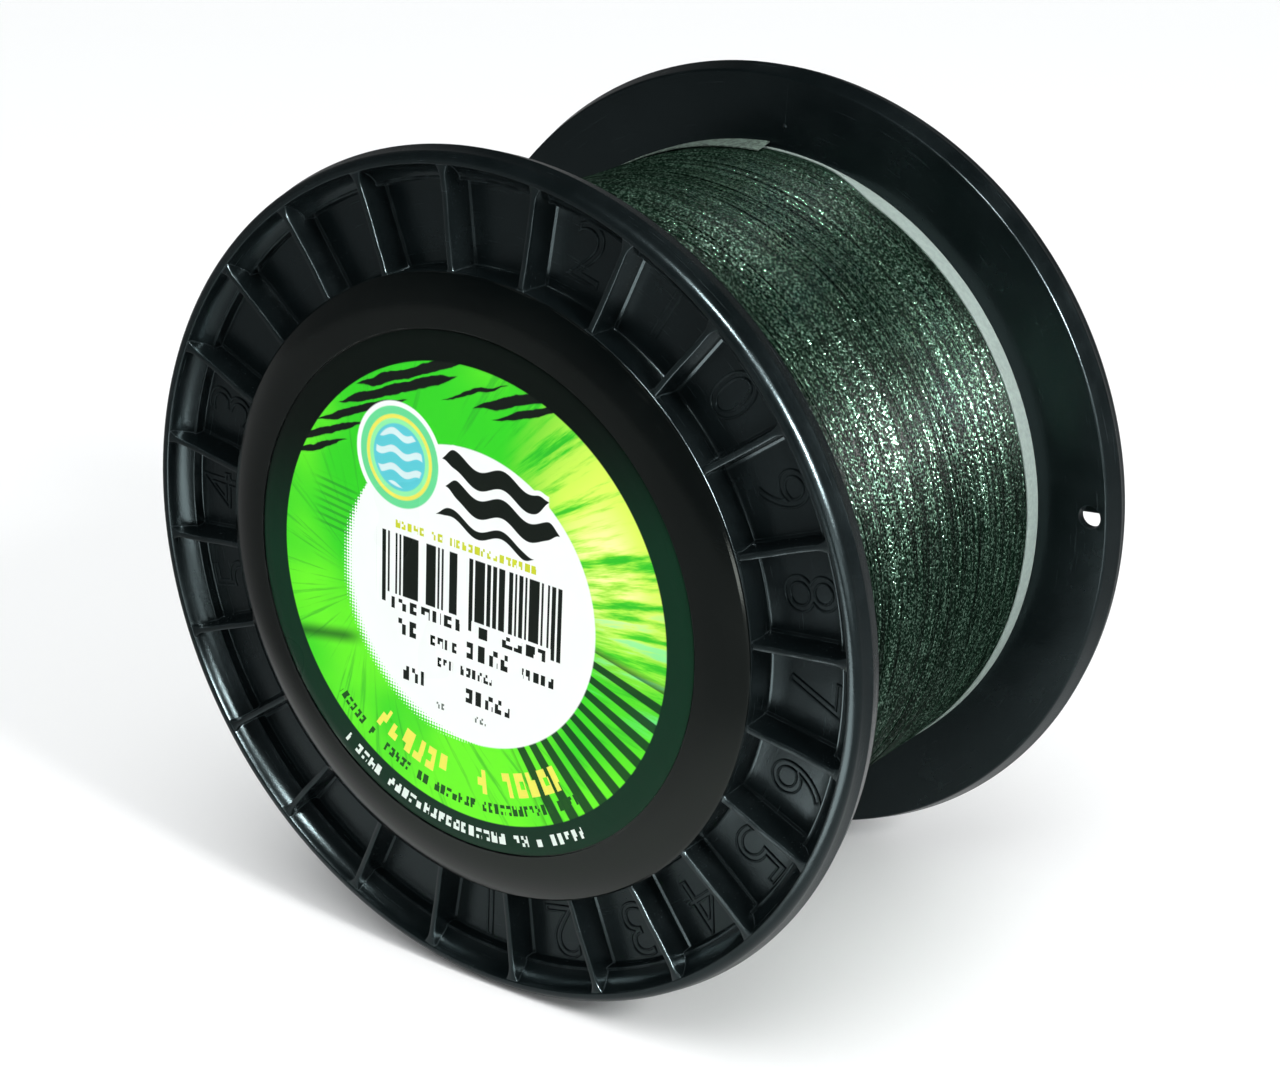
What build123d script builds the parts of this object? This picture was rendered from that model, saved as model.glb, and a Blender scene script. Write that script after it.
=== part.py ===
from build123d import *
import math
import os

# Fishing line spool lying on its two rims. Millimetres, +Z up, spool axis along Y,
# origin at the middle of the spool, label towards -Y.
# Each moulding is drawn with its axis along Z, z = 0 at its lip plane and +z pointing
# out of the spool, then turned to its own end of the spool.

# Overall sizes
flange_diameter = 114.0
lip_spacing = 68.9  # between the two lip planes
core_diameter = 77.6
winding_depth = 7.0  # of the line on the drum
arbor_bore_diameter = 16.0

# Flange
floor_depth = 4.25  # lip plane down to the ribbed floor
floor_thickness = 1.25
boss_wall = 2.9
lip_width = 0.7
rim_drop = 2.8  # lip plane down to the widest line of the rim
ledge_depth = 2.9
ledge_inset = 4.0  # rim to the ledge line
rib_count = 24
rib_first_angle = 4.5
rib_top_thickness = 0.8
rib_root_thickness = 1.2
rib_top_drop = 0.15
line_hole_diameter = 3.2
line_hole_inset = 3.4  # rim to the tie hole's centre
line_hole_angle = -3.0
line_pad_width = 4.6  # flat pad that thins the wall round the tie hole

# Hub cap
cap_edge_height = 0.6
plateau_height = 2.1
shoulder_width = 6.2  # cap's edge in to its raised middle
plateau_rim = 0.5
label_recess = 0.25
cap_thickness = 1.6
skirt_depth = 7.0
skirt_thickness = 1.6
web_count = 6
web_thickness = 1.2

# Drum, arbor tube, label and tapes
drum_wall = 2.0
drum_seat_depth = 2.8  # lip plane down to the drum's end
stop_ledge_height = 1.4
arbor_wall = 2.0
socket_wall = 1.8
socket_depth = 6.0
label_thickness = 0.12
tape_thickness = 0.16
edge_tape_width = 2.9
edge_tape_lap = 48.0  # degrees of overlap
edge_tape_end = 88.0  # angle of the loose end
edge_tape_lift = 0.65
edge_tape_lift_span = 26.0  # degrees over which the loose end rises
anchor_tape_width = 12.0
anchor_tape_length = 24.0

# Clearances
seat_clearance = 0.10  # drum in flange, radial
skirt_clearance = 0.12  # cap skirt in drum, radial
arbor_clearance = 0.08  # arbor tube in its sockets, radial
end_clearance = 0.10  # line pack to each flange
wound_clearance = 0.03  # line pack to drum and tapes
label_clearance = 0.2  # label in its recess, radial

flange_radius = flange_diameter / 2
core_radius = core_diameter / 2
pack_radius = core_radius + winding_depth
bore_radius = arbor_bore_diameter / 2
lip_y = lip_spacing / 2
face_depth = floor_depth + floor_thickness
pack_half_width = lip_y - face_depth - end_clearance
drum_bore_radius = core_radius - drum_wall
skirt_radius = drum_bore_radius - skirt_clearance
seat_radius = core_radius + seat_clearance
boss_radius = seat_radius + boss_wall
plateau_radius = boss_radius - shoulder_width
recess_radius = plateau_radius - plateau_rim
label_radius = recess_radius - label_clearance
arbor_radius = bore_radius + arbor_wall
cap_inner_height = plateau_height - label_recess - cap_thickness


def polar(radius, degrees):
    angle = math.radians(degrees)
    return (radius * math.cos(angle), radius * math.sin(angle))


def spun(profile):
    """The solid that a closed half profile in the XZ plane sweeps round Z."""
    return revolve(Plane.XZ * make_face(profile), Axis.Z)


def tube(outer, inner, low, high):
    ring = Circle(outer) - Circle(inner)
    return extrude(Plane.XY.offset(low) * ring, high - low)


# The front end keeps angles as they read from the label side; the rear end is the
# same moulding turned over, then turned so that its ribs line up with the front ones.
def to_front(shape):
    return Pos(0, -lip_y, 0) * Rot(90, 0, 0) * shape


def to_rear(shape):
    turned = Rot(0, 0, -2 * rib_first_angle) * shape
    return Pos(0, lip_y, 0) * Rot(-90, 0, 0) * turned


def flange(hole_angle=None):
    lip_outer = flange_radius - 1.35
    lip_inner = lip_outer - lip_width
    ledge_radius = flange_radius - ledge_inset
    bead_radius = ledge_radius - 0.35
    profile = Curve() + [
        Line((seat_radius, -face_depth), (seat_radius, -drum_seat_depth)),
        Line((seat_radius, -drum_seat_depth), (drum_bore_radius + 0.2, -drum_seat_depth)),
        Line(
            (drum_bore_radius + 0.2, -drum_seat_depth),
            (drum_bore_radius + 0.2, stop_ledge_height - drum_seat_depth),
        ),
        Line(
            (drum_bore_radius + 0.2, stop_ledge_height - drum_seat_depth),
            (seat_radius, stop_ledge_height - drum_seat_depth),
        ),
        Line((seat_radius, stop_ledge_height - drum_seat_depth), (seat_radius, 0)),
        Line((seat_radius, 0), (boss_radius, 0)),
        Line((boss_radius, 0), (boss_radius, -floor_depth)),
        Line((boss_radius, -floor_depth), (bead_radius - 0.15, -floor_depth)),
        Line((bead_radius - 0.15, -floor_depth), (bead_radius, -ledge_depth - 0.12)),
        ThreePointArc(
            (bead_radius, -ledge_depth - 0.12),
            (ledge_radius - 0.17, -ledge_depth + 0.1),
            (ledge_radius, -ledge_depth - 0.04),
        ),
        ThreePointArc(
            (ledge_radius, -ledge_depth - 0.04),
            (ledge_radius + 1.35, -1.85),
            (lip_inner, -0.22),
        ),
        Line((lip_inner, -0.22), (lip_inner + 0.1, 0)),
        Line((lip_inner + 0.1, 0), (lip_outer, 0)),
        ThreePointArc((lip_outer, 0), (lip_outer + 0.66, -0.5), (flange_radius - 0.45, -1.5)),
        Line((flange_radius - 0.45, -1.5), (flange_radius, -rim_drop)),
        Line((flange_radius, -rim_drop), (flange_radius - 0.25, -rim_drop - 0.45)),
        ThreePointArc(
            (flange_radius - 0.25, -rim_drop - 0.45),
            (flange_radius - 0.95, -face_depth + 0.75),
            (flange_radius - 2.7, -face_depth),
        ),
        Line((flange_radius - 2.7, -face_depth), (seat_radius, -face_depth)),
    ]
    body = spun(profile)

    # Ribs are drafted, and their outer ends are buried in the curved rim wall.
    rib_start = boss_radius - 0.5
    rib_end = lip_inner + 0.35
    rib_middle = (rib_start + rib_end) / 2
    rib_height = floor_depth - rib_top_drop
    foot = Plane.XY.offset(-floor_depth - 0.2) * Rectangle(
        rib_end - rib_start, rib_root_thickness
    )
    top = Plane.XY.offset(-rib_top_drop) * Rectangle(
        rib_end - rib_start, rib_top_thickness
    )
    rib = Pos(rib_middle, 0, 0) * loft([foot.face(), top.face()])
    # A small triangular web stiffens each rib where it meets the rim.
    gusset = extrude(
        Plane.XY.offset(-rib_top_drop - 1.3)
        * make_face(
            Polyline(
                (lip_inner - 1.9, 0),
                (lip_inner + 0.3, 1.15),
                (lip_inner + 0.3, -1.15),
                (lip_inner - 1.9, 0),
            )
        ),
        1.15,
    )
    for number in range(rib_count):
        angle = rib_first_angle + number * 360 / rib_count
        body += Rot(0, 0, angle) * rib
        body += Rot(0, 0, angle) * gusset

    if hole_angle is not None:
        hole_radius = flange_radius - line_hole_inset
        hole = Pos(hole_radius, 0, -face_depth / 2) * Cylinder(
            line_hole_diameter / 2, 2 * face_depth
        )
        pad_inner, pad_outer = bead_radius - 1.2, hole_radius + line_hole_diameter / 2
        pad = Pos((pad_inner + pad_outer) / 2, 0, (1 - floor_depth) / 2) * Box(
            pad_outer - pad_inner, line_pad_width, 1 + floor_depth
        )
        body -= Rot(0, 0, hole_angle) * hole
        body -= Rot(0, 0, hole_angle) * pad
    return body


def hub_cap():
    edge = 0.25
    recess_z = plateau_height - label_recess
    profile = Curve() + [
        Line((bore_radius, cap_inner_height), (bore_radius, recess_z - 0.5)),
        Line((bore_radius, recess_z - 0.5), (bore_radius + 0.5, recess_z)),
        Line((bore_radius + 0.5, recess_z), (recess_radius, recess_z)),
        Line((recess_radius, recess_z), (recess_radius, plateau_height)),
        Line((recess_radius, plateau_height), (plateau_radius, plateau_height)),
        ThreePointArc(
            (plateau_radius, plateau_height),
            (plateau_radius + 0.58 * shoulder_width, plateau_height - 0.42),
            (boss_radius - edge, cap_edge_height),
        ),
        Line((boss_radius - edge, cap_edge_height), (boss_radius, cap_edge_height - edge)),
        Line((boss_radius, cap_edge_height - edge), (boss_radius, 0)),
        Line((boss_radius, 0), (skirt_radius, 0)),
        Line((skirt_radius, 0), (skirt_radius, -skirt_depth + 0.5)),
        Line((skirt_radius, -skirt_depth + 0.5), (skirt_radius - 0.5, -skirt_depth)),
        Line((skirt_radius - 0.5, -skirt_depth), (skirt_radius - skirt_thickness, -skirt_depth)),
        Line(
            (skirt_radius - skirt_thickness, -skirt_depth),
            (skirt_radius - skirt_thickness, cap_inner_height),
        ),
        Line((skirt_radius - skirt_thickness, cap_inner_height), (bore_radius, cap_inner_height)),
    ]
    body = spun(profile)
    socket_inner = arbor_radius + arbor_clearance
    socket_outer = socket_inner + socket_wall
    body += tube(
        socket_outer, socket_inner, cap_inner_height - socket_depth, cap_inner_height + 0.3
    )
    web_start = socket_outer - 0.3
    web_end = skirt_radius - skirt_thickness + 0.3
    web = Pos((web_start + web_end) / 2, 0, cap_inner_height - 1.9) * Box(
        web_end - web_start, web_thickness, 4.2
    )
    for number in range(web_count):
        body += Rot(0, 0, number * 360 / web_count + 15) * web
    return body


def spiral_tape():
    """One turn of tape on the wound line, its loose end lapping over its start."""
    inner, outer = [], []
    steps = 120
    sweep = 360 + edge_tape_lap
    base = pack_radius + wound_clearance
    rise = tape_thickness + wound_clearance
    for step in range(steps + 1):
        turned = sweep * step / steps
        # The outer layer comes down to the wound line just past the lap.
        climb = min(1, max(0, (edge_tape_lap + 15 - turned) / 15))
        lift = edge_tape_lift * max(0, 1 - turned / edge_tape_lift_span) ** 1.5
        radius = base + rise * climb * climb * (3 - 2 * climb) + lift
        inner.append(polar(radius, edge_tape_end + turned))
        outer.append(polar(radius + tape_thickness, edge_tape_end + turned))
    strip = make_face(
        Curve()
        + [
            Spline(*inner),
            Line(inner[-1], outer[-1]),
            Spline(*reversed(outer)),
            Line(outer[0], inner[0]),
        ]
    )
    return extrude(strip, edge_tape_width)


def anchor_patch(inner, outer, grow):
    """A piece of thin tube over the anchor tape's width and length."""
    half_angle = math.degrees((anchor_tape_length / 2 + grow) / core_radius)
    ring = tube(outer, inner, -anchor_tape_width / 2 - grow, anchor_tape_width / 2 + grow)
    reach = 2 * outer
    wedge = make_face(
        Polyline(
            (0, 0), polar(reach, 90 - half_angle), polar(reach, 90 + half_angle), (0, 0)
        )
    )
    return ring & extrude(Plane.XY.offset(-anchor_tape_width) * wedge, 2 * anchor_tape_width)


front_flange = to_front(flange())
rear_flange = to_rear(flange(2 * rib_first_angle - line_hole_angle))
front_hub_cap = to_front(hub_cap())
rear_hub_cap = to_rear(hub_cap())

drum_half = lip_y - drum_seat_depth
core_drum = Rot(90, 0, 0) * tube(core_radius, drum_bore_radius, -drum_half, drum_half)
core_drum = chamfer(core_drum.edges().filter_by(GeomType.CIRCLE), 0.3)

arbor_half = lip_y + cap_inner_height
arbor_tube = Rot(90, 0, 0) * tube(arbor_radius, bore_radius, -arbor_half, arbor_half)

front_label = to_front(
    extrude(
        Plane.XY.offset(plateau_height - label_recess) * Circle(label_radius),
        label_thickness,
    )
)

# The drum's end of the line sits under a short tape across the middle of the drum.
anchor_inner = core_radius + wound_clearance
anchor_outer = anchor_inner + tape_thickness
anchor_tape = Rot(90, 0, 0) * anchor_patch(anchor_inner, anchor_outer, 0)

pack_inner = core_radius + wound_clearance
line_pack = tube(pack_radius, pack_inner, -pack_half_width, pack_half_width)
line_pack -= anchor_patch(
    pack_inner - 0.5, anchor_outer + wound_clearance, wound_clearance
)
line_pack = Rot(90, 0, 0) * line_pack

edge_tape = Rot(90, 0, 0) * (Pos(0, 0, -pack_half_width) * spiral_tape())

os.makedirs("parts", exist_ok=True)
pieces = {
    "front_flange": front_flange,
    "rear_flange": rear_flange,
    "core_drum": core_drum,
    "front_hub_cap": front_hub_cap,
    "rear_hub_cap": rear_hub_cap,
    "arbor_tube": arbor_tube,
    "front_label": front_label,
    "anchor_tape": anchor_tape,
    "line_pack": line_pack,
    "edge_tape": edge_tape,
}
for name, shape in pieces.items():
    export_step(shape, f"parts/{name}.step")
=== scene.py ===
import bmesh
import bpy
import math
import random
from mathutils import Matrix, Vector, noise


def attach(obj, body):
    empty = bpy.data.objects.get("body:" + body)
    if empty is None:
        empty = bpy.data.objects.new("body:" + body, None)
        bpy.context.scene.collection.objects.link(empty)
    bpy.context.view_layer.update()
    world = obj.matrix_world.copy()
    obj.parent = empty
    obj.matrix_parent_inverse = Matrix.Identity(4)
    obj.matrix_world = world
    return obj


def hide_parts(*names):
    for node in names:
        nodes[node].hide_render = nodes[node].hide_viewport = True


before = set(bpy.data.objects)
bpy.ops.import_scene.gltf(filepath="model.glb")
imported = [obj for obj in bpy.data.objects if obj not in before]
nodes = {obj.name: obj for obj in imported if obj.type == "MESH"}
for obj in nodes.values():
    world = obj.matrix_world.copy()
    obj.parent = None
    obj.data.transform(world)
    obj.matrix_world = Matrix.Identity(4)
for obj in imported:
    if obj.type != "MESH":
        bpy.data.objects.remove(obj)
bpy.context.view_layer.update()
mm = 0.001

# sizes shared by the pieces, in mm: lip plane to middle, flange radius, winding radius
spool = {"lip": 34.45, "flange": 57.0, "pack": 45.8}


def toFront(x, y, out):  # x right, y up, out = distance beyond the lip plane
    return (x * mm, -(spool["lip"] + out) * mm, y * mm)


def toRear(x, y, out):
    return (-x * mm, (spool["lip"] + out) * mm, y * mm)


def ringPoint(radius, degrees):
    a = math.radians(degrees)
    return radius * math.cos(a), radius * math.sin(a)


def turnedPoint(r, t, angle):
    # r outward and t sideways, turned by an angle in radians
    return r * math.cos(angle) - t * math.sin(angle), r * math.sin(angle) + t * math.cos(angle)


def aroundAxis(radius, along, angle):
    return (radius * math.cos(angle) * mm, along * mm, radius * math.sin(angle) * mm)


def easeIn(t):
    return t * t * (3 - 2 * t)


def arcThrough(a, b, c, steps):
    # points on the circle through a, b and c, without the first one
    (x1, y1), (x2, y2), (x3, y3) = a, b, c
    d = 2 * (x1 * (y2 - y3) + x2 * (y3 - y1) + x3 * (y1 - y2))
    s1, s2, s3 = x1**2 + y1**2, x2**2 + y2**2, x3**2 + y3**2
    ux = (s1 * (y2 - y3) + s2 * (y3 - y1) + s3 * (y1 - y2)) / d
    uy = (s1 * (x3 - x2) + s2 * (x1 - x3) + s3 * (x2 - x1)) / d
    r = math.hypot(x1 - ux, y1 - uy)
    t1, t2, t3 = (math.atan2(y - uy, x - ux) for x, y in (a, b, c))
    turn = (t3 - t1) % (2 * math.pi)
    if (t2 - t1) % (2 * math.pi) > turn:
        turn -= 2 * math.pi
    spots = [t1 + turn * k / steps for k in range(1, steps + 1)]
    return [(ux + r * math.cos(t), uy + r * math.sin(t)) for t in spots]


def softCorner(before, corner, after, size, steps=3):
    # a small rounded corner between two straight runs
    b = Vector(corner) + (Vector(before) - Vector(corner)).normalized() * size
    a = Vector(corner) + (Vector(after) - Vector(corner)).normalized() * size
    out = []
    for k in range(steps + 1):
        t = k / steps
        out.append(tuple((1 - t) ** 2 * b + 2 * t * (1 - t) * Vector(corner) + t * t * a))
    return out


def makeMesh(name, verts, faces, sharp=32):
    mesh = bpy.data.meshes.new(name)
    mesh.from_pydata(verts, [], faces)
    mesh.update()
    mesh.shade_smooth()
    mesh.set_sharp_from_angle(angle=math.radians(sharp))
    piece = bpy.data.objects.new(name, mesh)
    bpy.context.collection.objects.link(piece)
    return piece


def turnOutward(piece):
    bm = bmesh.new()
    bm.from_mesh(piece.data)
    bmesh.ops.recalc_face_normals(bm, faces=bm.faces)
    bm.to_mesh(piece.data)
    bm.free()


def finishedMesh(source):
    # the mesh of an object with its modifiers or its text worked out
    bpy.context.view_layer.update()
    return bpy.data.meshes.new_from_object(source.evaluated_get(bpy.context.evaluated_depsgraph_get()))


def storeNumbers(piece, name, numbers):
    piece.data.attributes.new(name, "FLOAT", "POINT").data.foreach_set("value", numbers)


def lathe(profile, segments, place, verts, faces):
    # sweeps a closed profile of (radius, out) round the axis
    start, n = len(verts), len(profile)
    for k in range(segments):
        for radius, out in profile:
            x, y = ringPoint(radius, 360 * k / segments)
            verts.append(place(x, y, out))
    for k in range(segments):
        here, ahead = start + k * n, start + (k + 1) % segments * n
        for j in range(n):
            faces.append((here + j, here + (j + 1) % n, ahead + (j + 1) % n, ahead + j))


def tubeFaces(base, rows, ring):
    # faces between closed rings of points that follow each other, both ends closed
    faces = []
    for k in range(rows):
        for j in range(ring):
            a, b = base + k * ring + j, base + k * ring + (j + 1) % ring
            faces.append((a, b, b + ring, a + ring))
    faces.append(tuple(base + j for j in range(ring)))
    faces.append(tuple(base + rows * ring + j for j in reversed(range(ring))))
    return faces


# node helpers: a value is a constant or a socket to link from
def plug(tree, value, socket):
    if isinstance(value, bpy.types.NodeSocket):
        tree.links.new(value, socket)
    elif isinstance(value, tuple):
        socket.default_value = (*value[:3], 1)
    else:
        socket.default_value = value


def plugAll(tree, node, values):
    for key, value in values.items():
        plug(tree, value, node.inputs[key])


def addNode(tree, kind, values=None, **settings):
    node = tree.nodes.new(kind)
    for key, value in settings.items():
        setattr(node, key, value)
    plugAll(tree, node, values or {})
    return node


def useGroup(tree, group, values=None):
    return addNode(tree, "ShaderNodeGroup", values, node_tree=group).outputs


def sumUp(tree, operation, a, b=None, clamp=False):
    values = {0: a} if b is None else {0: a, 1: b}
    return addNode(tree, "ShaderNodeMath", values, operation=operation, use_clamp=clamp).outputs[0]


def sums(tree, *operations):
    # a short function for each operation, such as plus(a, b)
    def one(operation):
        return lambda a, b, clamp=False: sumUp(tree, operation, a, b, clamp)
    return [one(operation) for operation in operations]


def blendColour(tree, share, first, second, mode="MIX"):
    values = {0: share, 6: first, 7: second}
    return addNode(tree, "ShaderNodeMix", values, data_type="RGBA", blend_type=mode).outputs[2]


def smoothStep(tree, value, low, high):
    values = {"From Min": low, "From Max": high, "Value": value}
    return addNode(tree, "ShaderNodeMapRange", values, interpolation_type="SMOOTHSTEP").outputs["Result"]


def combine(tree, *parts):
    return addNode(tree, "ShaderNodeCombineXYZ", dict(enumerate(parts))).outputs[0]


def split(tree, vector):
    return addNode(tree, "ShaderNodeSeparateXYZ", {0: vector}).outputs


def addNoise(tree, vector, scale, detail, roughness=0.5):
    values = {"Vector": vector, "Scale": scale, "Detail": detail, "Roughness": roughness}
    return addNode(tree, "ShaderNodeTexNoise", values).outputs["Fac"]


def newGroup(name, inputs, outputs):
    group = bpy.data.node_groups.new(name, "ShaderNodeTree")
    for title, value in inputs.items():
        group.interface.new_socket(name=title, in_out="INPUT", socket_type="NodeSocketFloat").default_value = value
    for title in outputs:
        kind = "NodeSocketVector" if title == "Millimetres" else "NodeSocketFloat"
        group.interface.new_socket(name=title, in_out="OUTPUT", socket_type=kind)
    return group, group.nodes.new("NodeGroupInput").outputs, group.nodes.new("NodeGroupOutput")


# spool coordinates in mm: angle round the axis, distance from it, place along it
def buildSpoolCoords():
    titles = ("Angle", "Radius", "Along", "Right", "Up", "Millimetres")
    group, given, result = newGroup("spoolCoords", {}, titles)
    plus, times = sums(group, "ADD", "MULTIPLY")
    where = addNode(group, "ShaderNodeTexCoord")
    values = {0: where.outputs["Object"], "Scale": 1000}
    scaled = addNode(group, "ShaderNodeVectorMath", values, operation="SCALE").outputs[0]
    x, y, z = split(group, scaled)
    angle = sumUp(group, "ARCTAN2", z, x)
    radius = sumUp(group, "SQRT", plus(times(x, x), times(z, z)))
    plugAll(group, result, dict(zip(titles, (angle, radius, y, x, z, scaled))))
    return group


# how near the surface is to an outer edge, broken up by a little noise
def buildEdgeWear():
    group, given, result = newGroup("edgeWear", {"Width": 0.25, "Patchiness": 0.5, "Grain Size": 1.5}, ["Wear"])
    less, times, over = sums(group, "SUBTRACT", "MULTIPLY", "DIVIDE")
    bevel = addNode(group, "ShaderNodeBevel", {"Radius": times(given["Width"], mm)}, samples=4)
    geometry = addNode(group, "ShaderNodeNewGeometry")
    normals = {0: bevel.outputs[0], 1: geometry.outputs["Normal"]}
    turned = addNode(group, "ShaderNodeVectorMath", normals, operation="DOT_PRODUCT")
    edge = smoothStep(group, less(1, turned.outputs["Value"]), 0.015, 0.14)
    coords = useGroup(group, spoolCoords)
    speckle = addNoise(group, coords["Millimetres"], over(1, given["Grain Size"]), 4)
    patchy = smoothStep(group, speckle, 0.40, 0.62)
    keep = less(1, times(given["Patchiness"], less(1, patchy)))
    plugAll(group, result, {"Wear": times(edge, keep, clamp=True)})
    return group


# the fine skin of moulded plastic: grain, slow sink marks and fine rubbed lines
def buildMouldSkin():
    defaults = {"Grain Size": 0.22, "Grain Height": 0.5, "Ripple Size": 9.0, "Ripple Height": 0.5}
    group, given, result = newGroup("mouldSkin", defaults, ["Height", "Cloud", "Scuff"])
    plus, times, over = sums(group, "ADD", "MULTIPLY", "DIVIDE")
    coords = useGroup(group, spoolCoords)
    place = coords["Millimetres"]
    grain = addNoise(group, place, over(1, given["Grain Size"]), 3, 0.6)
    ripple = addNoise(group, place, over(1, given["Ripple Size"]), 2)
    cloud = addNoise(group, place, 0.09, 5, 0.65)
    stretched = combine(group, times(coords["Angle"], 6.0), times(coords["Radius"], 2.6), times(coords["Along"], 2.6))
    scuff = addNoise(group, stretched, 1.0, 6, 0.7)
    height = plus(times(grain, given["Grain Height"]), times(ripple, given["Ripple Height"]))
    plugAll(group, result, {"Height": height, "Cloud": cloud, "Scuff": smoothStep(group, scuff, 0.60, 0.72)})
    return group


spoolCoords = buildSpoolCoords()
edgeWear = buildEdgeWear()
mouldSkin = buildMouldSkin()


def newMaterial(name, **principled):
    material = bpy.data.materials.new(name)
    material.use_nodes = True
    tree = material.node_tree
    shader = tree.nodes["Principled BSDF"]
    for key, value in principled.items():
        shader.inputs[key.replace("_", " ")].default_value = value
    return material, tree, shader


def bumpFrom(tree, height, distance):
    return addNode(tree, "ShaderNodeBump", {"Distance": distance * mm, "Height": height}).outputs["Normal"]


def blackPlastic(name, look):
    material, tree, shader = newMaterial(name, IOR=1.49, Specular_IOR_Level=look["gloss"])
    plus, times = sums(tree, "ADD", "MULTIPLY")
    skin = useGroup(tree, mouldSkin, {"Grain Size": look["grain"], "Grain Height": look["grainHeight"],
                                      "Ripple Size": look["ripple"], "Ripple Height": look["rippleHeight"]})
    wear = useGroup(tree, edgeWear, {"Width": look["wearWidth"], "Patchiness": 0.75, "Grain Size": 2.4})
    cloudy = smoothStep(tree, skin["Cloud"], 0.35, 0.7)
    colour = blendColour(tree, cloudy, look["dark"], look["light"])
    colour = blendColour(tree, times(wear["Wear"], look["wear"]), colour, look["worn"])
    colour = blendColour(tree, times(skin["Scuff"], look["scuff"]), colour, look["worn"])
    rough = plus(look["rough"], times(cloudy, look["roughSpread"]))
    plugAll(tree, shader, {
        "Specular Tint": look["tint"],
        "Base Color": colour,
        "Roughness": plus(rough, times(skin["Scuff"], look["scuffRough"]), clamp=True),
        "Normal": bumpFrom(tree, skin["Height"], look["bump"])})
    return material


flangeLook = {
    "tint": (0.74, 0.96, 1.0), "dark": (0.0026, 0.0044, 0.0048), "light": (0.0044, 0.0068, 0.0074),
    "worn": (0.060, 0.076, 0.080), "wear": 0.45, "wearWidth": 0.30, "gloss": 0.36, "rough": 0.19,
    "roughSpread": 0.09, "grain": 0.25, "grainHeight": 0.35, "ripple": 7.0, "rippleHeight": 0.8,
    "bump": 0.05, "scuff": 0.10, "scuffRough": 0.10}
hubLook = {
    "tint": (0.92, 1.0, 0.92), "dark": (0.0010, 0.0018, 0.0019), "light": (0.0018, 0.0028, 0.0028),
    "worn": (0.060, 0.065, 0.062), "wear": 0.35, "wearWidth": 0.22, "gloss": 0.40, "rough": 0.09,
    "roughSpread": 0.04, "grain": 0.20, "grainHeight": 0.35, "ripple": 14.0, "rippleHeight": 0.5,
    "bump": 0.03, "scuff": 0.06, "scuffRough": 0.10}
drumLook = dict(flangeLook, rough=0.38, bump=0.06, scuff=0.2)
flangePlastic = blackPlastic("flangePlastic", flangeLook)
hubPlastic = blackPlastic("hubPlastic", hubLook)
drumPlastic = blackPlastic("drumPlastic", drumLook)
print("plastics ready")

# flanges
flangeShape = {
    "seat": 38.9, "boss": 41.8, "face": 5.5, "floor": 4.25, "stopDepth": 2.8, "stopHeight": 1.4, "stopRadius": 37.0,
    "ledge": 53.0, "ledgeDepth": 2.9, "lipOut": 55.65, "lipWidth": 0.7, "rimDrop": 2.8,
    "ribs": 24, "firstRib": 4.5, "ribTop": 0.40, "ribRoot": 0.58, "ribDrop": 0.15, "ribSteps": 34,
    "fillet": 0.45, "gusset": 1.15, "waviness": 0.10, "segments": 288,
    "holeRadius": 53.6, "holeSize": 3.2, "holeSides": 48, "padWidth": 4.6,
}


def flangeProfile(s):
    seat, boss, rim, face, floor = s["seat"], s["boss"], s["flange"], s["face"], s["floor"]
    ledge, ledgeDepth, lipOut, drop = s["ledge"], s["ledgeDepth"], s["lipOut"], s["rimDrop"]
    lipIn, bead = lipOut - s["lipWidth"], ledge - 0.35
    stop = s["stopHeight"] - s["stopDepth"]
    p = [(seat, -face), (seat, -s["stopDepth"]), (s["stopRadius"], -s["stopDepth"])]
    p += [(s["stopRadius"], stop), (seat, stop), (seat, -0.2)]
    p += softCorner((seat, -1), (seat, 0), (boss, 0), 0.2)
    p += softCorner((seat, 0), (boss, 0), (boss, -4), 0.28, 4)
    p += softCorner((boss, 0), (boss, -floor), (50, -floor), 0.5, 4)
    p += [(r, -floor) for r in (44.5, 48.0, 51.0)]
    # shallow bead and ledge, then the steep inner wall of the lip
    p += softCorner((50, -floor), (bead - 0.15, -floor), (bead, -3.0), 0.25)
    p += [(bead, -ledgeDepth - 0.12)]
    p += arcThrough((bead, -ledgeDepth - 0.12), (ledge - 0.17, -ledgeDepth + 0.1), (ledge, -ledgeDepth - 0.04), 4)
    p += arcThrough((ledge, -ledgeDepth - 0.04), (ledge + 1.35, -1.85), (lipIn, -0.22), 7)
    p += softCorner((lipIn, -0.3), (lipIn + 0.08, 0), (lipOut, 0), 0.18)
    p += [(lipOut, 0)]
    # rounded outside of the lip, down to the winding face
    p += arcThrough((lipOut, 0), (lipOut + 0.66, -0.5), (rim - 0.45, -1.5), 6)
    p += softCorner((rim - 0.45, -1.5), (rim, -drop), (rim - 0.25, -drop - 0.45), 0.14)
    p += arcThrough((rim - 0.25, -drop - 0.45), (rim - 0.47, -face + 1.3), (rim - 0.78, -face + 0.34), 3)
    p += arcThrough((rim - 0.78, -face + 0.34), (rim - 0.90, -face + 0.11), (rim - 1.16, -face), 4)
    return p + [(48.5, -face), (44.0, -face)]


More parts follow.
